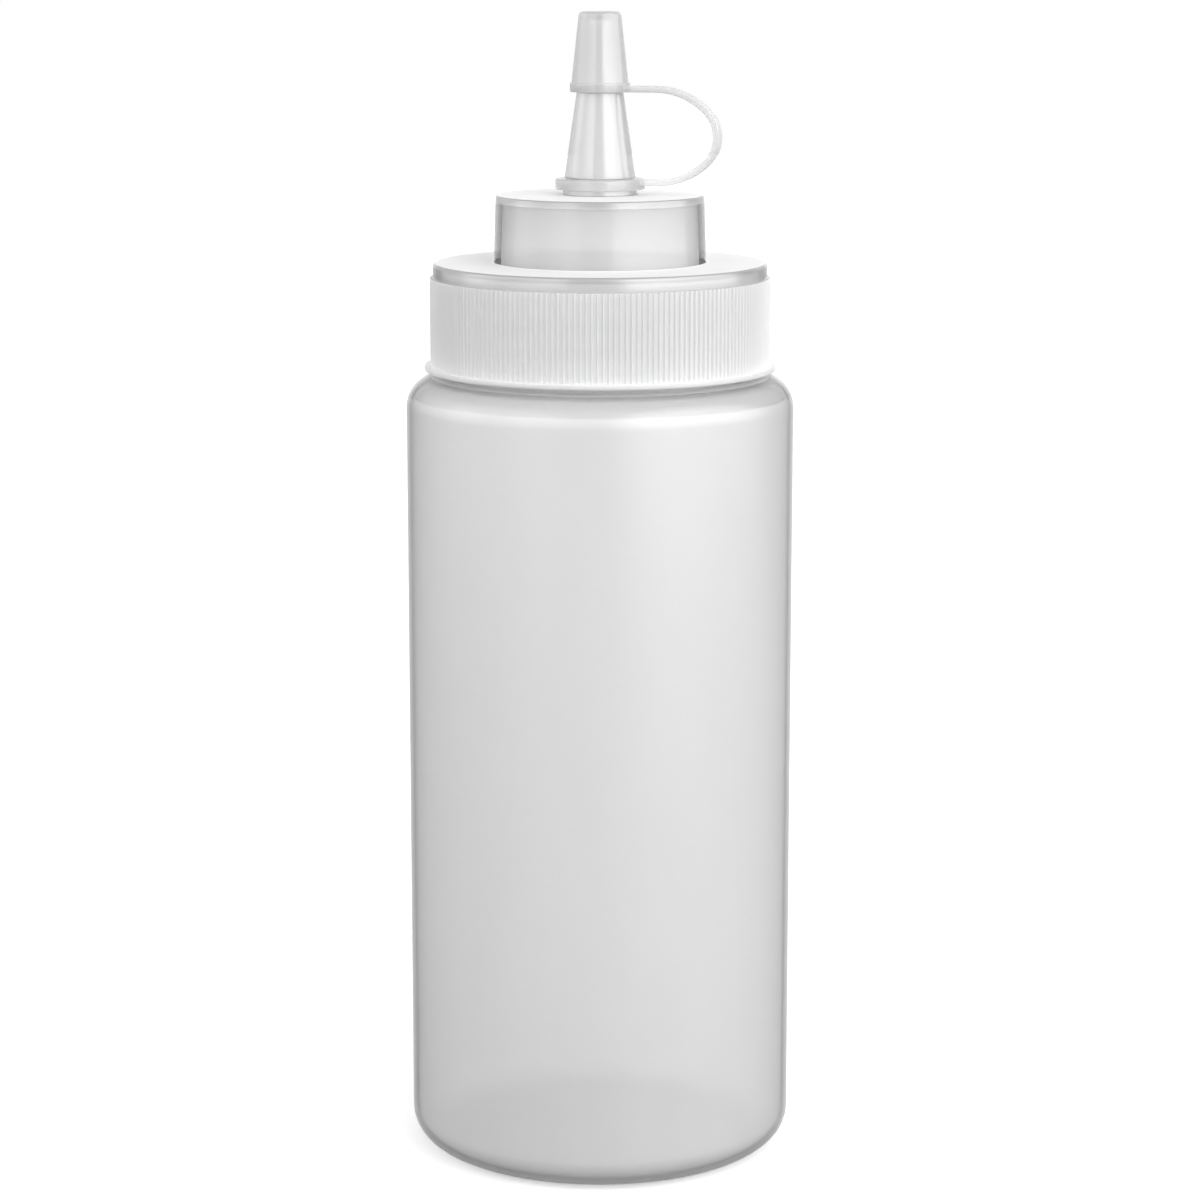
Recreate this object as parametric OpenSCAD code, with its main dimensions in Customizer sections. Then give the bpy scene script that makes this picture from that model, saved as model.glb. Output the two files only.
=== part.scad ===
// Squeeze bottle for sauce: blown barrel, screw lid with a stepped turret and a
// tapered nozzle, and a tip cap held by a strap on a ring round the nozzle's foot.
// Millimetres, +Z up, origin on the axis at the surface the bottle stands on.
// The strap's loop points along +X.

/* [Barrel] */
// Outside diameter of the barrel
body_d = 70; // [66:0.5:90]
// Height of the shoulder above the table
shoulder_z = 142.9; // [100:0.1:200]
// Wall of the blown barrel
body_wall = 1; // [0.7:0.1:1.8]
// Corner radius of the heel, between barrel and base
heel_r = 5.7; // [3:0.1:9]
// Corner radius of the shoulder
shoulder_r = 5.5; // [3:0.1:6]
// Width of the flat ring that the bottle stands on
rest_w = 2.3; // [1.5:0.1:5]
// Rise of the hollow under the base, at the axis
hollow_rise = 2.6; // [1:0.1:5]
// Thickness of the floor over that hollow
floor_t = 1.3; // [1:0.1:2.5]

/* [Neck] */
// Outside diameter of the neck, without its thread
neck_d = 54.4; // [46:0.2:56]
// Height of the neck's rim above the shoulder
neck_h = 17.7; // [14:0.1:24]
// Wall of the neck
neck_wall = 1.6; // [1.2:0.1:2.5]
// Fillet at the neck's root
neck_root_r = 0.9; // [0.4:0.1:1.2]

/* [Rim seal] */
// Thickness of the ring between the neck's rim and the lid's deck
seal_t = 1.4; // [0.8:0.1:2]
// Radial width of that ring
seal_w = 3.3; // [2.5:0.1:5]
// Radial clearance between the ring and the lid's wall
seal_clear = 0.3; // [0.2:0.05:0.6]

/* [Lid] */
// Radial room between neck and lid, where the thread runs
thread_room = 1.4; // [1:0.1:2]
// Wall of the lid's smooth band
band_wall = 1.45; // [1:0.05:2]
// Height of that band above the ribs
band_h = 2.7; // [1.5:0.1:5]
// Thickness of the lid's flat deck
deck_t = 1.3; // [1:0.1:2]
// Rounding of the deck's outer edge
deck_edge_r = 0.7; // [0.3:0.1:1]
// Step from the smooth band out to the rib crests
rib_step = 0.6; // [0.45:0.05:1]
// Depth of the grooves between ribs
rib_depth = 0.35; // [0.2:0.05:0.6]
// Distance from one rib to the next, round the lid
rib_pitch = 1; // [0.9:0.05:3]
// Overhang of the bottom flange beyond the rib crests
flange_over = 1.1; // [0.5:0.1:2]
// Thickness of the bottom flange
flange_t = 0.9; // [0.6:0.1:1.5]
// Gap between the flange and the bottle's shoulder
flange_gap = 1.1; // [0.6:0.1:2]

/* [Turret] */
// Outside diameter of the turret at its foot
turret_d = 38.2; // [30:0.2:44]
// Height of the turret above the deck
turret_h = 12.1; // [8:0.1:20]
// Wall of the turret
turret_wall = 1.25; // [1:0.05:2]
// Thickness of the turret's top
turret_top_t = 1.3; // [1:0.1:2]
// How much the turret's radius shrinks from foot to top
turret_draft = 0.4; // [0:0.1:1]
// Rounding of the turret's top edge
turret_edge_r = 0.5; // [0.2:0.1:0.8]
// Fillet where the turret rises from the deck
turret_root_r = 0.5; // [0.2:0.1:1]

/* [Nozzle] */
// Diameter of the collar that carries the strap's ring
collar_d = 13.3; // [12.6:0.1:15]
// Height of the collar
collar_h = 1; // [0.6:0.1:2]
// Depth of the groove that holds the ring, from the cone's foot inwards
groove_depth = 0.7; // [0.5:0.05:0.9]
// Diameter of the cone at its foot
cone_d = 12.8; // [12:0.1:14]
// Length of the cone from foot to tip
cone_h = 27.2; // [20:0.1:40]
// Diameter of the cone at its tip
tip_d = 4.8; // [4.2:0.1:7]
// Diameter of the opening at the tip
orifice_d = 3; // [1.5:0.1:3.4]
// Diameter of the bore where it leaves the turret
bore_d = 9.2; // [7:0.1:9.6]
// Rounding of the tip's edge
tip_edge_r = 0.25; // [0.1:0.05:0.4]

/* [Tip cap] */
// Length of nozzle that the cap covers
cap_cover = 12; // [8:0.1:16]
// Wall of the cap
cap_wall = 0.9; // [0.7:0.05:1.4]
// Thickness of the cap's closed top
cap_top_t = 1.5; // [0.8:0.1:2.5]
// Clearance between cap and nozzle at the cap's rim
cap_clear = 0.12; // [0.05:0.01:0.3]
// Clearance between cap and nozzle beside the tip
cap_tip_clear = 0.45; // [0.2:0.05:0.8]
// Clearance above the tip
cap_end_clear = 0.7; // [0.3:0.1:1.5]
// Rounding of the cap's top edge
cap_edge_r = 0.9; // [0.3:0.1:1.2]
// How far the bead round the cap's rim stands out
bead_out = 0.2; // [0.1:0.05:0.4]
// Height of that bead
bead_h = 1.6; // [0.5:0.1:2.4]

/* [Ring and strap] */
// Outside diameter of the ring
ring_d = 16.1; // [15.6:0.1:20]
// Height of the ring
ring_h = 1.9; // [1.4:0.1:3]
// Radial clearance between ring and groove
ring_clear = 0.3; // [0.2:0.05:0.4]
// Clearance above the ring
ring_play = 0.1; // [0.05:0.05:0.3]
// Width of the strap, across its loop
strap_w = 2.2; // [1.6:0.1:4]
// Thickness of the strap
strap_t = 1.2; // [0.8:0.1:1.4]
// Distance from the axis to the outside of the strap's loop
strap_reach = 22.7; // [20:0.1:32]
// Radius of the strap's outer bend, along its middle
bend_r = 6.2; // [4:0.1:7.5]
// Length of the lugs that carry the strap on ring and cap
lug_len = 0.7; // [0.4:0.1:1.5]

/* [Hidden] */
$fn = 96;

// Overlap that makes touching shapes of one piece merge
merge = 0.3;

// Radii and heights of the bottle
body_r = body_d / 2;
neck_r = neck_d / 2;
mouth_r = neck_r - neck_wall;
rim_z = shoulder_z + neck_h;
hollow_r = body_r - heel_r - rest_w;
hollow_ball_r = (pow(hollow_r, 2) + pow(hollow_rise, 2)) / (2 * hollow_rise);

// Radii and heights of the lid, which seats on the seal
lid_in_r = neck_r + thread_room;
band_r = lid_in_r + band_wall;
crest_r = band_r + rib_step;
flange_r = crest_r + flange_over;
deck_low_z = rim_z + seal_t;
deck_z = deck_low_z + deck_t;
rib_top_z = deck_z - band_h;
flange_z = shoulder_z + flange_gap;
rib_count = round(2 * PI * crest_r / rib_pitch);
turret_r = turret_d / 2;
turret_z = deck_z + turret_h;

// Radii and heights of the nozzle
collar_z = turret_z + collar_h;
cone_r = cone_d / 2;
groove_r = cone_r - groove_depth;
cone_z = collar_z + ring_h + ring_play;
tip_r = tip_d / 2;
tip_z = cone_z + cone_h;

// Radii and heights of the cap, which sits over the tip
cap_z = tip_z - cap_cover;
cap_end_z = tip_z + cap_end_clear;
cap_top_z = cap_end_z + cap_top_t;
cap_bore_r = radius_between(cone_r, cone_z, tip_r, tip_z, cap_z) + cap_clear;
cap_bore_end_r = tip_r + cap_tip_clear;
cap_r = cap_bore_r + cap_wall;
cap_top_r = cap_bore_end_r + cap_wall;

// The strap's loop: two runs, two wide arcs and one outer bend
ring_r = ring_d / 2;
ring_lug_x = ring_r + lug_len;
cap_lug_x = cap_r + lug_len;
low_run_z = collar_z + ring_h - strap_t / 2;
high_run_z = cap_z + strap_t / 2;
loop_mid_z = (low_run_z + high_run_z) / 2;
loop_half_h = (high_run_z - low_run_z) / 2;
bend_half = 45;
arc_steps = 12;
wide_r = (loop_half_h - bend_r * cos(bend_half)) / (1 - cos(bend_half));
bend_x = strap_reach - strap_t / 2 - bend_r;
run_end_x = bend_x - (wide_r - bend_r) * sin(bend_half);

// Points along an arc, but for its end, which the next stretch starts from
function arc_points(centre_x, centre_z, r, from_angle, to_angle) = [
    for (i = [0 : arc_steps - 1])
        let (angle = from_angle + (to_angle - from_angle) * i / arc_steps)
        [centre_x + r * cos(angle), centre_z + r * sin(angle)]
];

// Radius at height z on the straight side from (r0, z0) to (r1, z1)
function radius_between(r0, z0, r1, z1, z) = r0 + (r1 - r0) * (z - z0) / (z1 - z0);

// Half section of a tapered plug with a rounded top edge
module plug_section(r0, z0, r1, z1, edge) {
    lean = atan2(r0 - r1, z1 - z0);
    centre_z = z1 - edge;
    centre_x = radius_between(r0, z0, r1, z1, centre_z) - edge / cos(lean);
    polygon([
        [0, z0],
        [r0, z0],
        [centre_x + edge * cos(lean), centre_z + edge * sin(lean)],
        [centre_x, z1],
        [0, z1]
    ]);
    translate([centre_x, centre_z]) circle(edge);
}

// Half section of a barrel with rounded corners at its bottom and top
module barrel_section(r, low_z, high_z, low_corner, high_corner) {
    translate([0, low_z + low_corner])
        square([r, high_z - low_z - low_corner - high_corner]);
    translate([0, low_z]) square([r - low_corner, high_z - low_z]);
    translate([r - low_corner, low_z + low_corner]) circle(low_corner);
    translate([r - high_corner, high_z - high_corner]) circle(high_corner);
    translate([0, low_z + low_corner]) square([r - high_corner, high_z - low_z - low_corner]);
}

// Concave fillet that rises from a flat at height z against a wall of radius r
module root_section(r, z, fillet) {
    difference() {
        translate([r - merge, z - merge]) square(fillet + merge);
        translate([r + fillet, z + fillet]) circle(fillet);
    }
}

// Bar that joins the strap to a round wall: from the wall to x, centred on height z
module strap_lug(x, z) {
    translate([0, -strap_w / 2, z - strap_t / 2]) cube([x, strap_w, strap_t]);
}

module bottle_body() {
    color([0.93, 0.94, 0.95, 0.85])
    rotate_extrude()
    difference() {
        union() {
            barrel_section(body_r, 0, shoulder_z, heel_r, shoulder_r);
            translate([0, shoulder_z - body_wall]) square([neck_r, neck_h + body_wall]);
            root_section(neck_r, shoulder_z, neck_root_r);
        }
        difference() {
            barrel_section(body_r - body_wall, body_wall, shoulder_z - body_wall,
                heel_r - body_wall, shoulder_r - body_wall);
            translate([0, hollow_rise - hollow_ball_r]) circle(hollow_ball_r + floor_t);
        }
        translate([0, shoulder_z - 2 * body_wall]) square([mouth_r, neck_h + 3 * body_wall]);
        translate([0, hollow_rise - hollow_ball_r]) circle(hollow_ball_r);
    }
}

module rim_seal() {
    outer_r = lid_in_r - seal_clear;
    color([0.97, 0.97, 0.97])
    translate([0, 0, rim_z])
    rotate_extrude()
    translate([outer_r - seal_w, 0]) square([seal_w, seal_t]);
}

// Half section of everything on the lid but its ribs
module lid_section() {
    difference() {
        union() {
            // Band and deck
            plug_section(band_r, rib_top_z - merge, band_r, deck_z, deck_edge_r);
            // Core of the skirt, inside the ribs
            translate([0, flange_z]) square([lid_in_r + band_wall / 2, deck_low_z - flange_z]);
            // Bottom flange
            translate([0, flange_z]) square([flange_r, flange_t]);
            // Turret
            root_section(turret_r, deck_z, turret_root_r);
            plug_section(turret_r, deck_z - merge, turret_r - turret_draft, turret_z,
                turret_edge_r);
            // Collar, groove and cone of the nozzle
            translate([0, turret_z - merge]) square([collar_d / 2, collar_h + merge]);
            translate([0, turret_z]) square([groove_r, cone_z - turret_z + merge]);
            plug_section(cone_r, cone_z, tip_r, tip_z, tip_edge_r);
        }
        // Room for the neck
        translate([0, flange_z - merge]) square([lid_in_r, deck_low_z - flange_z + merge]);
        // Inside of the turret
        plug_section(turret_r - turret_wall, deck_low_z - merge,
            turret_r - turret_wall - turret_draft, turret_z - turret_top_t, turret_edge_r);
        // Bore of the nozzle
        polygon([
            [0, turret_z - turret_top_t - merge],
            [bore_d / 2, turret_z - turret_top_t - merge],
            [bore_d / 2, turret_z],
            [orifice_d / 2, tip_z - orifice_d],
            [orifice_d / 2, tip_z + merge],
            [0, tip_z + merge]
        ]);
    }
}

// Ring of upright V ribs round the skirt
module grip_ribs() {
    step = 180 / rib_count;
    translate([0, 0, flange_z + flange_t / 2])
    linear_extrude(rib_top_z - flange_z - flange_t / 2)
    difference() {
        polygon([
            for (i = [0 : 2 * rib_count - 1])
                let (r = crest_r - (i % 2) * rib_depth)
                [r * cos(i * step), r * sin(i * step)]
        ]);
        circle(lid_in_r + band_wall / 4);
    }
}

module screw_lid() {
    color([0.95, 0.96, 0.97, 0.8])
    union() {
        rotate_extrude() lid_section();
        grip_ribs();
    }
}

module tether_ring() {
    color([0.95, 0.96, 0.97, 0.9])
    difference() {
        union() {
            translate([0, 0, collar_z]) cylinder(h = ring_h, r = ring_r);
            strap_lug(ring_lug_x, low_run_z);
        }
        translate([0, 0, collar_z - merge])
            cylinder(h = ring_h + 2 * merge, r = groove_r + ring_clear);
    }
}

// Outline of the strap's loop at a distance from its middle line, from cap to ring
function loop_side(shift) = concat(
    [[cap_lug_x, high_run_z + shift]],
    arc_points(run_end_x, high_run_z - wide_r, wide_r + shift, 90, bend_half),
    arc_points(bend_x, loop_mid_z, bend_r + shift, bend_half, -bend_half),
    arc_points(run_end_x, low_run_z + wide_r, wide_r + shift, -bend_half, -90),
    [[run_end_x, low_run_z - shift], [ring_lug_x, low_run_z - shift]]
);

module tether_strap() {
    inner = loop_side(-strap_t / 2);
    color([0.95, 0.96, 0.97, 0.9])
    rotate([90, 0, 0])
    linear_extrude(strap_w, center = true)
    polygon(concat(loop_side(strap_t / 2), [for (i = [len(inner) - 1 : -1 : 0]) inner[i]]));
}

module tip_cap() {
    color([0.96, 0.97, 0.98, 0.85])
    difference() {
        union() {
            rotate_extrude() {
                plug_section(cap_r, cap_z, cap_top_r, cap_top_z, cap_edge_r);
                translate([0, cap_z]) square([cap_r + bead_out, bead_h]);
            }
            strap_lug(cap_lug_x, high_run_z);
        }
        rotate_extrude()
        polygon([
            [0, cap_z - merge],
            [radius_between(cap_bore_r, cap_z, cap_bore_end_r, tip_z, cap_z - merge), cap_z - merge],
            [cap_bore_end_r, tip_z],
            [cap_bore_end_r, cap_end_z],
            [0, cap_end_z]
        ]);
    }
}

bottle_body();
rim_seal();
screw_lid();
tether_ring();
tether_strap();
tip_cap();
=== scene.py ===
import math

import bmesh
import bpy
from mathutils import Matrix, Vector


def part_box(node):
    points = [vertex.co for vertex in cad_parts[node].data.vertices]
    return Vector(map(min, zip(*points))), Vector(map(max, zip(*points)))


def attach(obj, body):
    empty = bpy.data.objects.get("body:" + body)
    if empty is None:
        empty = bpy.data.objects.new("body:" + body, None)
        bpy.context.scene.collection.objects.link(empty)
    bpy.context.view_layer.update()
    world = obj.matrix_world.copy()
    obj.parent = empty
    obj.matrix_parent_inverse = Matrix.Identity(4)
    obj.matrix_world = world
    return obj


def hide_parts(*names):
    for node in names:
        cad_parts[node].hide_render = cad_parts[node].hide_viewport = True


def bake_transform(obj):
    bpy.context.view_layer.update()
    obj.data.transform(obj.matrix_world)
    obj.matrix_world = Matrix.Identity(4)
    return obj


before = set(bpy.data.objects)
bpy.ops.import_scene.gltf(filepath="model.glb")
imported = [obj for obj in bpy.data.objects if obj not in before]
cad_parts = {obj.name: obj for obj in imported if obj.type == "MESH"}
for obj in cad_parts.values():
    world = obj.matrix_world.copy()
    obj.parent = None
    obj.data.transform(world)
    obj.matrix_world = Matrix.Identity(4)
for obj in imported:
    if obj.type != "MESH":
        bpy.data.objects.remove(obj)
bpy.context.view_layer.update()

MM = 0.001
TURN = 2 * math.pi

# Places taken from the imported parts
BOTTLE_LOW, BOTTLE_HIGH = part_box("bottle_body")
SEAL_LOW, SEAL_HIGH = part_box("rim_seal")
LID_LOW, LID_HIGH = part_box("screw_lid")
RING_LOW, RING_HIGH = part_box("tether_ring")
STRAP_LOW, STRAP_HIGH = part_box("tether_strap")
CAP_LOW, CAP_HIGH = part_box("tip_cap")

# Bottle
BODY_R = BOTTLE_HIGH.x
RIM_Z = BOTTLE_HIGH.z
NECK_HEIGHT = 17.7 * MM
SHOULDER_Z = RIM_Z - NECK_HEIGHT
NECK_R = 27.2 * MM
MOUTH_R = 25.6 * MM
BODY_WALL = 1.0 * MM
HEEL_R = 5.7 * MM
SHOULDER_R = 5.5 * MM
REST_INNER_R = 27.0 * MM
HOLLOW_RISE = 2.6 * MM
FLOOR_T = 1.3 * MM
NECK_ROOT_R = 0.9 * MM

# Lid
LID_IN_R = 28.6 * MM
BAND_R = 30.05 * MM
RIB_ROOT_R = 30.3 * MM
RIB_CREST_R = 30.65 * MM
RIB_COUNT = 193
FLANGE_R = LID_HIGH.x
FLANGE_Z = LID_LOW.z
FLANGE_T = 0.9 * MM
DECK_LOW_Z = SEAL_HIGH.z
DECK_Z = DECK_LOW_Z + 1.3 * MM
RIB_TOP_Z = DECK_Z - 2.7 * MM
TURRET_R = 19.1 * MM
TURRET_TOP_R = 18.7 * MM
TURRET_WALL = 1.25 * MM
TURRET_Z = DECK_Z + 12.1 * MM
TURRET_TOP_T = 1.3 * MM

# Nozzle
COLLAR_R = 6.65 * MM
COLLAR_Z = RING_LOW.z
GROOVE_R = 5.7 * MM
CONE_R = 6.4 * MM
CONE_Z = RING_HIGH.z + 0.1 * MM
TIP_R = 2.4 * MM
TIP_Z = LID_HIGH.z
BORE_R = 4.6 * MM
ORIFICE_R = 1.5 * MM

# Ring, strap and cap
RING_R = -RING_LOW.x
RING_BORE_R = 6.0 * MM
CAP_Z = CAP_LOW.z
CAP_TOP_Z = CAP_HIGH.z
BEAD_R = -CAP_LOW.x
CAP_R = BEAD_R - 0.2 * MM
BEAD_H = 1.6 * MM
CAP_TOP_R = 3.75 * MM
CAP_BORE_R = 4.285 * MM
CAP_BORE_END_R = 2.85 * MM
CAP_END_Z = CAP_TOP_Z - 1.5 * MM
STRAP_W = STRAP_HIGH.y - STRAP_LOW.y
STRAP_T = 1.2 * MM
STRAP_BEND_R = 6.2 * MM

# Screw thread
PITCH = 4.2 * MM
THREAD_TURNS = 2.0
NECK_THREAD_R = 28.3 * MM
NECK_THREAD_RISE = 6.0 * MM
NECK_THREAD_W = 2.2 * MM
LID_THREAD_R = 27.5 * MM
LID_THREAD_RISE = 3.9 * MM
LID_THREAD_W = 2.0 * MM

# Steps round a full turn
SPIN_STEPS = 256
RIB_STEPS = 4 * RIB_COUNT
THREAD_STEPS = 96

# Share of the light that a face scatters. The rest passes straight through
WALL_MILK = 0.3
# Painted shade: the shoulder's upward faces and the ceiling under them scatter less than the rest of
# the wall, which dims the lamp's highlight on the shoulder
SHOULDER_PAINTED_SHADE_MILK = 0.15
CEILING_PAINTED_SHADE_MILK = 0.3
CORE_MILK = 0.6
NECK_MILK = 0.6
LID_WALL_MILK = 0.15
LID_CORE_MILK = 0.6
TOP_MILK = 0.8
RIB_MILK = 0.66
BAND_MILK = 0.45
NOZZLE_MILK = 0.44
THREAD_MILK = 0.2
RING_MILK = 0.4
STRAP_MILK = 0.5
CAP_WALL_MILK = 0.42
CAP_CORE_MILK = 0.4

# Camera, as degrees round the axis and down
CAMERA_AROUND = 20
CAMERA_DOWN = 10.79
CAMERA_DISTANCE = 0.625
CAMERA_HEIGHT = 0.2205
CAMERA_LENS = 104.2

# Soft round cards about the bottle, with angles in degrees:
# turn to the right of the camera, elevation, radius of full light, radius of no light, level
CARDS = (
    (62, 15, 44, 50, 2.25),
    (-66, 15, 40, 46, 1.2),
    (0, 20, 30, 70, 0.65),
    (-110, 10, 24, 36, 0.95),
    (180, 30, 20, 50, 0.8),
)
ROOM_LEVEL = 0.17
BACKDROP_LEVEL = 1.0

# The floor is darker for the light that it throws up than for the camera
FLOOR_R = 3.0
FLOOR_GAP = 0.2 * MM
FLOOR_BOUNCE = 0.15
FLOOR_SEEN = 0.9
FLOOR_GLOW = 0.3


def begin(name):
    """A one-vertex mesh at the origin, open in edit mode."""
    bpy.ops.object.select_all(action="DESELECT")
    bpy.ops.mesh.primitive_plane_add(size=MM)
    piece = bpy.context.object
    piece.name = piece.data.name = name
    bpy.ops.object.mode_set(mode="EDIT")
    bpy.ops.mesh.select_mode(type="VERT")
    bpy.ops.mesh.select_all(action="SELECT")
    bpy.ops.mesh.merge(type="CENTER")
    return piece


def pick(piece, wanted):
    """Selects the vertices for which wanted(place) is true."""
    bm = bmesh.from_edit_mesh(piece.data)
    for v in bm.verts:
        v.select = bool(wanted(v.co))
    bm.select_flush_mode()
    bmesh.update_edit_mesh(piece.data)


def pick_faces(piece, wanted):
    """Selects the faces for which wanted(middle, normal, outward) is true.

    outward is the share of the normal that points away from the Z axis."""
    bpy.ops.mesh.select_mode(type="FACE")
    bm = bmesh.from_edit_mesh(piece.data)
    for face in bm.faces:
        middle = face.calc_center_median()
        outward = (face.normal.x * middle.x + face.normal.y * middle.y) / max(middle.xy.length, 1e-9)
        face.select = bool(wanted(middle, face.normal, outward))
    bm.select_flush_mode()
    bmesh.update_edit_mesh(piece.data)


def everywhere(middle, normal, outward):
    return True


def on_inner_wall(middle, normal, outward):
    return outward < -0.2


def set_milk(piece, shares):
    """Writes each face's share of scattered light, as (share, wanted faces)."""
    bpy.ops.geometry.attribute_add(name="milk", domain="FACE", data_type="FLOAT")
    for share, wanted in shares:
        pick_faces(piece, wanted)
        bpy.ops.mesh.attribute_set(value_float=share)
    bpy.ops.mesh.select_mode(type="VERT")


def near(x, z):
    """A test for the vertices at x, z in the XZ plane."""
    return lambda at: abs(at.x - x) < 1e-6 and abs(at.z - z) < 1e-6


def draw_outline(name, corners, closed=False, arc_steps=8):
    """Draws corners (x, z, radius of the rounding) as a chain of edges in the XZ plane."""
    piece = begin(name)
    x, z = corners[0][:2]
    bpy.ops.transform.translate(value=(x, 0, z))
    for corner in corners[1:]:
        move = (corner[0] - x, 0, corner[1] - z)
        bpy.ops.mesh.extrude_vertices_move(TRANSFORM_OT_translate={"value": move})
        x, z = corner[:2]
    if closed:
        ends = (near(*corners[0][:2]), near(x, z))
        pick(piece, lambda at: any(end(at) for end in ends))
        bpy.ops.mesh.edge_face_add()
    for i, (x, z, *rounding) in enumerate(corners):
        if not rounding:
            continue
        before = corners[i - 1]
        after = corners[(i + 1) % len(corners)]
        a = math.atan2(z - before[1], x - before[0])
        b = math.atan2(after[1] - z, after[0] - x)
        turn = abs((b - a + math.pi) % TURN - math.pi)
        pick(piece, near(x, z))
        bpy.ops.mesh.bevel(offset=rounding[0] * math.tan(turn / 2), segments=arc_steps,
                           affect="VERTICES", clamp_overlap=False)
    return piece


def revolve(piece, steps=SPIN_STEPS):
    """Turns the outline round the Z axis and closes the seam and the poles."""
    bpy.ops.object.mode_set(mode="OBJECT")
    screw = piece.modifiers.new("turned", "SCREW")
    screw.steps = screw.render_steps = steps
    screw.use_merge_vertices = True
    screw.merge_threshold = 1e-6
    bpy.ops.object.modifier_apply(modifier=screw.name)
    bpy.ops.object.mode_set(mode="EDIT")
    bpy.ops.mesh.select_all(action="SELECT")
    bpy.ops.mesh.remove_doubles(threshold=1e-6)
    bpy.ops.mesh.normals_make_consistent(inside=False)


def finish(piece, body, material, sharp_degrees=35):
    """Leaves edit mode, smooths the piece, and hangs it on its body."""
    bpy.ops.object.mode_set(mode="OBJECT")
    bpy.ops.object.shade_smooth_by_angle(angle=math.radians(sharp_degrees))
    piece.data.materials.clear()
    piece.data.materials.append(material)
    if body:
        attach(piece, body)
    return piece


def mottle(nodes, links, scale, detail, stretch=1):
    """Noise in the piece's own space, drawn out along Z by the factor stretch."""
    place = nodes.new("ShaderNodeTexCoord")
    along = nodes.new("ShaderNodeMapping")
    along.inputs["Scale"].default_value = (1, 1, 1 / stretch)
    links.new(place.outputs["Object"], along.inputs["Vector"])
    cloud = nodes.new("ShaderNodeTexNoise")
    cloud.inputs["Scale"].default_value = scale
    cloud.inputs["Detail"].default_value = detail
    links.new(along.outputs["Vector"], cloud.inputs["Vector"])
    return cloud.outputs["Fac"]


def between(nodes, links, source, low, high):
    """Brings the middle of a noise's range to the range from low to high."""
    spread = nodes.new("ShaderNodeMapRange")
    spread.inputs["From Min"].default_value = 0.3
    spread.inputs["From Max"].default_value = 0.7
    spread.inputs["To Min"].default_value = low
    spread.inputs["To Max"].default_value = high
    links.new(source, spread.inputs["Value"])
    return spread.outputs["Result"]


def tint(nodes, links, source, low, high, shader):
    """Lets the base colour drift between two tones with a noise."""
    blend = nodes.new("ShaderNodeMix")
    blend.data_type = "RGBA"
    blend.inputs["A"].default_value = (*low, 1)
    blend.inputs["B"].default_value = (*high, 1)
    links.new(between(nodes, links, source, 0, 1), blend.inputs["Factor"])
    links.new(blend.outputs["Result"], shader.inputs["Base Color"])


def relief(nodes, links, source, depth, strength, shader):
    """Roughens the surface with a noise of that depth."""
    bump = nodes.new("ShaderNodeBump")
    bump.inputs["Strength"].default_value = strength
    bump.inputs["Distance"].default_value = depth
    links.new(source, bump.inputs["Height"])
    links.new(bump.outputs["Normal"], shader.inputs["Normal"])


def milky_plastic(name, tone, ior, rough, dim, stretch=1):
    """Natural polyethylene. Each face scatters the share of the light that its milk
    attribute gives, more where it is seen at a slant, and lets the rest through.
    The wall's depth dims what passes, and milky faces have a duller shine."""
    material = bpy.data.materials.new(name)
    material.use_nodes = True
    nodes, links = material.node_tree.nodes, material.node_tree.links
    shader = nodes["Principled BSDF"]
    shader.inputs["IOR"].default_value = ior
    shader.inputs["Specular IOR Level"].default_value = 1.0
    milk = nodes.new("ShaderNodeAttribute")
    milk.attribute_name = "milk"
    slant = nodes.new("ShaderNodeLayerWeight")
    grazing = nodes.new("ShaderNodeMapRange")
    grazing.inputs["From Min"].default_value = 0.8
    links.new(slant.outputs["Facing"], grazing.inputs["Value"])
    solid = nodes.new("ShaderNodeMix")
    links.new(grazing.outputs["Result"], solid.inputs["Factor"])
    links.new(milk.outputs["Fac"], solid.inputs["A"])
    solid.inputs["B"].default_value = 1
    links.new(solid.outputs["Result"], shader.inputs["Alpha"])
    flow = mottle(nodes, links, 70, 4, stretch)
    tint(nodes, links, flow, tuple(0.97 * t for t in tone), tone, shader)
    haze = nodes.new("ShaderNodeMapRange")
    haze.inputs["From Min"].default_value = 0.45
    haze.inputs["From Max"].default_value = 0.6
    haze.inputs["To Max"].default_value = 0.8
    links.new(milk.outputs["Fac"], haze.inputs["Value"])
    links.new(between(nodes, links, flow, rough - 0.02, rough + 0.02), haze.inputs["To Min"])
    links.new(haze.outputs["Result"], shader.inputs["Roughness"])
    relief(nodes, links, mottle(nodes, links, 900, 2, stretch), 0.05 * MM, 0.1, shader)
    depth = nodes.new("ShaderNodeVolumeAbsorption")
    depth.inputs["Color"].default_value = (0, 0, 0, 1)
    depth.inputs["Density"].default_value = dim
    links.new(depth.outputs["Volume"], nodes["Material Output"].inputs["Volume"])
    return material


def white_foam(name, tone):
    """Foamed polyethylene with fine closed cells."""
    material = bpy.data.materials.new(name)
    material.use_nodes = True
    nodes, links = material.node_tree.nodes, material.node_tree.links
    shader = nodes["Principled BSDF"]
    shader.inputs["Roughness"].default_value = 0.7
    cells = mottle(nodes, links, 1500, 3)
    tint(nodes, links, cells, tuple(0.94 * t for t in tone), tone, shader)
    relief(nodes, links, cells, 0.1 * MM, 0.4, shader)
    return material


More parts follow.
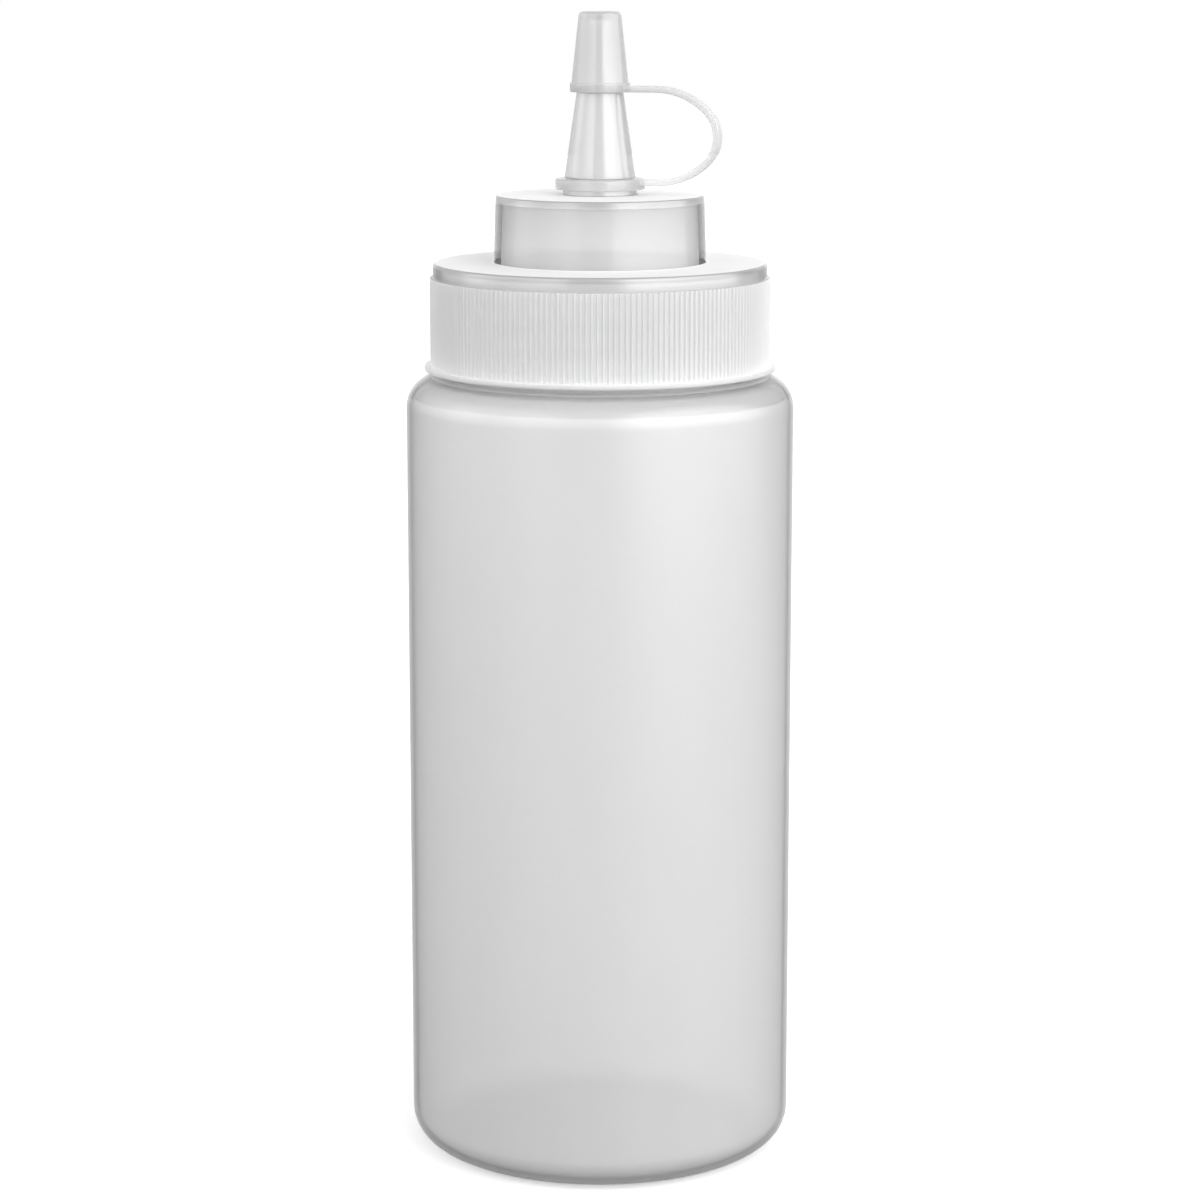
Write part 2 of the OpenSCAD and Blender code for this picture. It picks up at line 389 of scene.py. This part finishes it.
def make_barrel(material):
    """Blown barrel with its hollow base, shoulder and neck, as one closed shell."""
    floor = HOLLOW_RISE + FLOOR_T
    ball_r = (REST_INNER_R ** 2 + HOLLOW_RISE ** 2) / (2 * HOLLOW_RISE)
    inner_r = BODY_R - BODY_WALL
    piece = draw_outline("barrel_shell", [
        (0, HOLLOW_RISE),
        (REST_INNER_R / 2, HOLLOW_RISE, ball_r * 0.98),
        (REST_INNER_R, 0, 0.8 * MM),
        (BODY_R, 0, HEEL_R),
        (BODY_R, SHOULDER_Z, SHOULDER_R),
        (NECK_R, SHOULDER_Z, NECK_ROOT_R),
        (NECK_R, RIM_Z, 0.4 * MM),
        (MOUTH_R, RIM_Z, 0.4 * MM),
        (MOUTH_R, SHOULDER_Z - BODY_WALL, 0.8 * MM),
        (inner_r, SHOULDER_Z - BODY_WALL, SHOULDER_R - BODY_WALL),
        (inner_r, BODY_WALL, HEEL_R - BODY_WALL),
        (REST_INNER_R, BODY_WALL + 0.2 * MM, 3 * MM),
        (REST_INNER_R / 2, floor, ball_r * 0.9),
        (0, floor),
    ])
    revolve(piece)
    set_milk(piece, (
        (WALL_MILK, everywhere),
        # Painted shade: lower shares on the shoulder's upward faces and the ceiling under them dim the
        # lamp's highlight there
        (SHOULDER_PAINTED_SHADE_MILK, lambda at, normal, outward: normal.z > 0.3 and at.z > SHOULDER_Z - SHOULDER_R),
        (CORE_MILK, on_inner_wall),
        (CORE_MILK, lambda at, normal, outward: normal.z > 0.5 and at.z < HEEL_R),
        (CORE_MILK, lambda at, normal, outward: normal.z > 0.95 and at.z > SHOULDER_Z - 0.1 * MM),
        (CEILING_PAINTED_SHADE_MILK, lambda at, normal, outward: normal.z < -0.3 and at.z > HEEL_R),
        (NECK_MILK, lambda at, normal, outward: at.z > SHOULDER_Z + NECK_ROOT_R),
    ))
    finish(piece, "bottle", material)
    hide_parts("bottle_body")


def make_seal(material):
    inner_r = SEAL_HIGH.x - 3.3 * MM
    edge = 0.25 * MM
    piece = draw_outline("seal_ring", [
        (inner_r, SEAL_LOW.z, edge),
        (SEAL_HIGH.x, SEAL_LOW.z, edge),
        (SEAL_HIGH.x, SEAL_HIGH.z, edge),
        (inner_r, SEAL_HIGH.z, edge),
    ], closed=True, arc_steps=3)
    revolve(piece)
    finish(piece, "seal", material)
    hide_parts("rim_seal")


def make_lid(material):
    """Screw lid: ribbed skirt, deck, turret and nozzle, as one moulding."""
    inner_r = TURRET_R - TURRET_WALL
    inner_top_r = TURRET_TOP_R - TURRET_WALL
    slab_z = TURRET_Z - TURRET_TOP_T
    slab_r = TURRET_TOP_R + (TURRET_R - TURRET_TOP_R) * TURRET_TOP_T / (TURRET_Z - DECK_Z)
    piece = draw_outline("lid_shell", [
        (LID_IN_R, FLANGE_Z, 0.25 * MM),
        (FLANGE_R, FLANGE_Z, 0.3 * MM),
        (FLANGE_R, FLANGE_Z + FLANGE_T, 0.3 * MM),
        (RIB_ROOT_R, FLANGE_Z + FLANGE_T, 0.2 * MM),
        (RIB_ROOT_R, RIB_TOP_Z),
        (BAND_R, RIB_TOP_Z + 0.12 * MM),
        (BAND_R, DECK_Z, 0.7 * MM),
        (TURRET_R, DECK_Z, 0.5 * MM),
        (slab_r, slab_z),
        (TURRET_TOP_R, TURRET_Z, 0.5 * MM),
        (COLLAR_R, TURRET_Z, 0.25 * MM),
        (COLLAR_R, COLLAR_Z, 0.2 * MM),
        (GROOVE_R, COLLAR_Z, 0.15 * MM),
        (GROOVE_R, CONE_Z, 0.15 * MM),
        (CONE_R, CONE_Z, 0.2 * MM),
        (TIP_R, TIP_Z, 0.25 * MM),
        (ORIFICE_R, TIP_Z, 0.2 * MM),
        (ORIFICE_R, TIP_Z - 2 * ORIFICE_R, 8 * MM),
        (BORE_R, TURRET_Z, 2 * MM),
        (BORE_R, slab_z, 0.3 * MM),
        (inner_top_r, slab_z, 0.6 * MM),
        (inner_r, DECK_LOW_Z, 0.4 * MM),
        (LID_IN_R, DECK_LOW_Z, 0.4 * MM),
    ], closed=True, arc_steps=4)
    revolve(piece, RIB_STEPS)
    step = TURN / RIB_COUNT
    slack = 0.01 * MM

    def on_crest(at):
        """True for each fourth vertex of the ribbed wall."""
        if not FLANGE_Z + FLANGE_T - slack < at.z < RIB_TOP_Z + slack:
            return False
        if not RIB_ROOT_R - slack < at.xy.length < RIB_CREST_R:
            return False
        phase = (math.atan2(at.y, at.x) / step) % 1
        return min(phase, 1 - phase) < 0.1

    pick(piece, on_crest)
    grow = RIB_CREST_R / RIB_ROOT_R
    bpy.ops.transform.resize(value=(grow, grow, 1), center_override=(0, 0, 0))
    set_milk(piece, (
        (LID_WALL_MILK, everywhere),
        (LID_CORE_MILK, lambda at, normal, outward: outward < -0.2 or normal.z < -0.2),
        (TOP_MILK, lambda at, normal, outward: normal.z > 0.8),
        (RIB_MILK, lambda at, normal, outward: at.z < RIB_TOP_Z and outward > 0.2),
        (BAND_MILK, lambda at, normal, outward: RIB_TOP_Z < at.z < DECK_Z and outward > 0.2),
        (BAND_MILK, lambda at, normal, outward: slab_z < at.z < TURRET_Z and outward > 0.2),
        (NOZZLE_MILK, lambda at, normal, outward: at.z > TURRET_Z and outward > 0.1),
    ))
    finish(piece, "lid", material)
    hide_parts("screw_lid")


def make_thread(name, body, material, root_r, crest_r, low_z, width):
    """Helical ridge on a wall of radius root_r, sunk a little into the wall and closed flat at both
    ends.
    """
    sunk = root_r + (root_r - crest_r) * 0.25
    piece = draw_outline(name, [
        (sunk, low_z - width / 2),
        (root_r, low_z - width / 2),
        (crest_r, low_z - width / 6),
        (crest_r, low_z + width / 6),
        (root_r, low_z + width / 2),
        (sunk, low_z + width / 2),
    ], closed=True)
    bpy.ops.mesh.select_all(action="SELECT")
    bpy.ops.object.mode_set(mode="OBJECT")
    screw = piece.modifiers.new("thread", "SCREW")
    screw.angle = THREAD_TURNS * TURN
    screw.screw_offset = THREAD_TURNS * PITCH
    screw.steps = screw.render_steps = round(THREAD_TURNS * THREAD_STEPS)
    screw.use_merge_vertices = False
    screw.use_normal_calculate = True
    bpy.ops.object.modifier_apply(modifier=screw.name)
    bpy.ops.object.mode_set(mode="EDIT")
    bpy.ops.mesh.select_all(action="SELECT")
    bpy.ops.mesh.region_to_loop()
    bpy.ops.mesh.fill_holes(sides=0)
    bpy.ops.mesh.select_all(action="SELECT")
    bpy.ops.mesh.normals_make_consistent(inside=False)
    set_milk(piece, ((THREAD_MILK, everywhere),))
    finish(piece, body, material)


def make_ring(material):
    piece = draw_outline("strap_ring", [
        (RING_BORE_R, RING_LOW.z, 0.15 * MM),
        (RING_R, RING_LOW.z, 0.2 * MM),
        (RING_R, RING_HIGH.z, 0.3 * MM),
        (RING_BORE_R, RING_HIGH.z, 0.2 * MM),
    ], closed=True, arc_steps=4)
    revolve(piece)
    set_milk(piece, ((RING_MILK, everywhere),))
    finish(piece, "tether", material)
    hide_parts("tether_ring")


def make_strap(material):
    """D-shaped strap that leaves the ring level and comes back level to the cap."""
    low_z = RING_HIGH.z - STRAP_T / 2
    high_z = CAP_Z + STRAP_T / 2
    half = (high_z - low_z) / 2
    lean = math.radians(45)
    wide_r = (half - STRAP_BEND_R * math.cos(lean)) / (1 - math.cos(lean))
    bend_x = STRAP_HIGH.x - STRAP_T / 2 - STRAP_BEND_R
    run_x = bend_x - (wide_r - STRAP_BEND_R) * math.sin(lean)
    mid_z = (low_z + high_z) / 2
    start_x = RING_R - 0.5 * MM
    end_x = CAP_R - 0.3 * MM
    bpy.ops.object.select_all(action="DESELECT")
    bpy.ops.mesh.primitive_plane_add(size=1, rotation=(0, math.pi / 2, 0))
    piece = bpy.context.object
    piece.name = piece.data.name = "strap_loop"
    bpy.ops.object.transform_apply(location=True, rotation=True, scale=True)
    bpy.ops.object.mode_set(mode="EDIT")
    bpy.ops.mesh.select_all(action="SELECT")
    bpy.ops.transform.resize(value=(1, STRAP_W, STRAP_T))
    bpy.ops.mesh.bevel(offset=0.3 * MM, segments=3, affect="VERTICES")
    bpy.ops.mesh.select_all(action="SELECT")
    bpy.ops.transform.translate(value=(start_x, 0, low_z))
    for _ in range(4):
        bpy.ops.mesh.extrude_region_move(
            TRANSFORM_OT_translate={"value": ((run_x - start_x) / 4, 0, 0)})
    for centre, degrees, steps in (
        ((run_x, 0, low_z + wide_r), 45, 16),
        ((bend_x, 0, mid_z), 90, 32),
        ((run_x, 0, high_z - wide_r), 45, 16),
    ):
        bpy.ops.mesh.spin(steps=steps, angle=math.radians(degrees), center=centre,
                          axis=(0, 1, 0))
    for _ in range(4):
        bpy.ops.mesh.extrude_region_move(
            TRANSFORM_OT_translate={"value": ((end_x - run_x) / 4, 0, 0)})
    bpy.ops.mesh.select_all(action="SELECT")
    bpy.ops.mesh.remove_doubles(threshold=1e-7)
    bpy.ops.mesh.normals_make_consistent(inside=False)
    set_milk(piece, ((STRAP_MILK, everywhere),))
    finish(piece, None, material)
    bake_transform(piece)
    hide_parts("tether_strap")


def make_cap(material):
    piece = draw_outline("nozzle_cap", [
        (0, CAP_TOP_Z),
        (CAP_TOP_R, CAP_TOP_Z, 0.9 * MM),
        (CAP_R - 0.08 * MM, CAP_Z + BEAD_H, 0.2 * MM),
        (BEAD_R, CAP_Z + BEAD_H, 0.2 * MM),
        (BEAD_R, CAP_Z, 0.2 * MM),
        (CAP_BORE_R, CAP_Z, 0.15 * MM),
        (CAP_BORE_END_R, TIP_Z, 2 * MM),
        (CAP_BORE_END_R, CAP_END_Z, 0.6 * MM),
        (0, CAP_END_Z),
    ], arc_steps=5)
    revolve(piece)
    set_milk(piece, (
        (CAP_WALL_MILK, everywhere),
        (CAP_CORE_MILK, lambda at, normal, outward: outward < -0.2 or normal.z < -0.8),
    ))
    finish(piece, "cap", material)
    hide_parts("tip_cap")


def make_camera():
    around = math.radians(CAMERA_AROUND)
    away = (math.sin(around), -math.cos(around))
    bpy.ops.object.camera_add(
        location=(CAMERA_DISTANCE * away[0], CAMERA_DISTANCE * away[1], CAMERA_HEIGHT),
        rotation=(math.pi / 2 - math.radians(CAMERA_DOWN), 0, around))
    camera = bpy.context.object
    camera.name = "camera"
    camera.data.sensor_width = 36
    camera.data.lens = CAMERA_LENS
    bpy.context.scene.camera = camera


def light_from_cards(nodes, links):
    """Adds up the room's level and the soft round cards on the world's sphere."""
    place = nodes.new("ShaderNodeTexCoord")
    total = None
    for azimuth, elevation, inner, outer, level in CARDS:
        a = math.radians(azimuth + CAMERA_AROUND)
        e = math.radians(elevation)
        along = nodes.new("ShaderNodeVectorMath")
        along.operation = "DOT_PRODUCT"
        along.inputs[1].default_value = (
            math.sin(a) * math.cos(e), -math.cos(a) * math.cos(e), math.sin(e))
        links.new(place.outputs["Generated"], along.inputs[0])
        card = nodes.new("ShaderNodeMapRange")
        card.interpolation_type = "SMOOTHSTEP"
        card.inputs["From Min"].default_value = math.cos(math.radians(outer))
        card.inputs["From Max"].default_value = math.cos(math.radians(inner))
        card.inputs["To Max"].default_value = level
        links.new(along.outputs["Value"], card.inputs["Value"])
        both = nodes.new("ShaderNodeMath")
        both.inputs[0].default_value = ROOM_LEVEL
        links.new(card.outputs["Result"], both.inputs[1])
        if total:
            links.new(total, both.inputs[0])
        total = both.outputs[0]
    return total


def floor_paper():
    """White paper that glows a little for the camera alone."""
    material = bpy.data.materials.new("white_floor")
    material.use_nodes = True
    nodes, links = material.node_tree.nodes, material.node_tree.links
    shader = nodes["Principled BSDF"]
    shader.inputs["Roughness"].default_value = 0.8
    shader.inputs["Emission Color"].default_value = (1, 1, 1, 1)
    path = nodes.new("ShaderNodeLightPath")
    shade = nodes.new("ShaderNodeMix")
    shade.data_type = "RGBA"
    shade.inputs["A"].default_value = (FLOOR_BOUNCE, FLOOR_BOUNCE, FLOOR_BOUNCE, 1)
    shade.inputs["B"].default_value = (FLOOR_SEEN, FLOOR_SEEN, FLOOR_SEEN, 1)
    links.new(path.outputs["Is Camera Ray"], shade.inputs["Factor"])
    links.new(shade.outputs["Result"], shader.inputs["Base Color"])
    glow = nodes.new("ShaderNodeMath")
    glow.operation = "MULTIPLY"
    glow.inputs[1].default_value = FLOOR_GLOW
    links.new(path.outputs["Is Camera Ray"], glow.inputs[0])
    links.new(glow.outputs[0], shader.inputs["Emission Strength"])
    return material


def make_studio():
    """Floor and light. The camera sees a white backdrop in place of the cards."""
    bpy.ops.mesh.primitive_circle_add(vertices=64, radius=FLOOR_R, fill_type="NGON",
                                      location=(0, 0, -FLOOR_GAP))
    floor = bpy.context.object
    floor.name = "floor"
    bpy.ops.object.transform_apply(location=True)
    floor.data.materials.append(floor_paper())
    world = bpy.data.worlds.new("studio")
    bpy.context.scene.world = world
    world.use_nodes = True
    nodes, links = world.node_tree.nodes, world.node_tree.links
    back = nodes["Background"]
    path = nodes.new("ShaderNodeLightPath")
    level = nodes.new("ShaderNodeMix")
    links.new(path.outputs["Is Camera Ray"], level.inputs["Factor"])
    links.new(light_from_cards(nodes, links), level.inputs["A"])
    level.inputs["B"].default_value = BACKDROP_LEVEL
    links.new(level.outputs["Result"], back.inputs["Strength"])
    back.inputs["Color"].default_value = (1, 1, 1, 1)


barrel_plastic = milky_plastic(
    "barrel_plastic", (0.985, 0.985, 0.985), ior=2.5, rough=0.34, dim=90, stretch=8)
lid_plastic = milky_plastic("lid_plastic", (0.97, 0.97, 0.975), ior=2.5, rough=0.24, dim=120)
cap_plastic = milky_plastic("cap_plastic", (0.92, 0.92, 0.925), ior=1.9, rough=0.2, dim=140)

make_barrel(barrel_plastic)
make_seal(white_foam("seal_foam", (0.93, 0.93, 0.93)))
make_lid(lid_plastic)
make_thread("neck_thread", "bottle", barrel_plastic,
            NECK_R, NECK_THREAD_R, SHOULDER_Z + NECK_THREAD_RISE, NECK_THREAD_W)
make_thread("lid_thread", "lid", lid_plastic,
            LID_IN_R, LID_THREAD_R, SHOULDER_Z + LID_THREAD_RISE, LID_THREAD_W)
make_ring(cap_plastic)
make_strap(cap_plastic)
make_cap(cap_plastic)
make_camera()
make_studio()

bpy.context.scene.view_settings.view_transform = "Standard"
bpy.context.scene.cycles.transparent_max_bounces = 32
bpy.context.scene.cycles.diffuse_bounces = 10
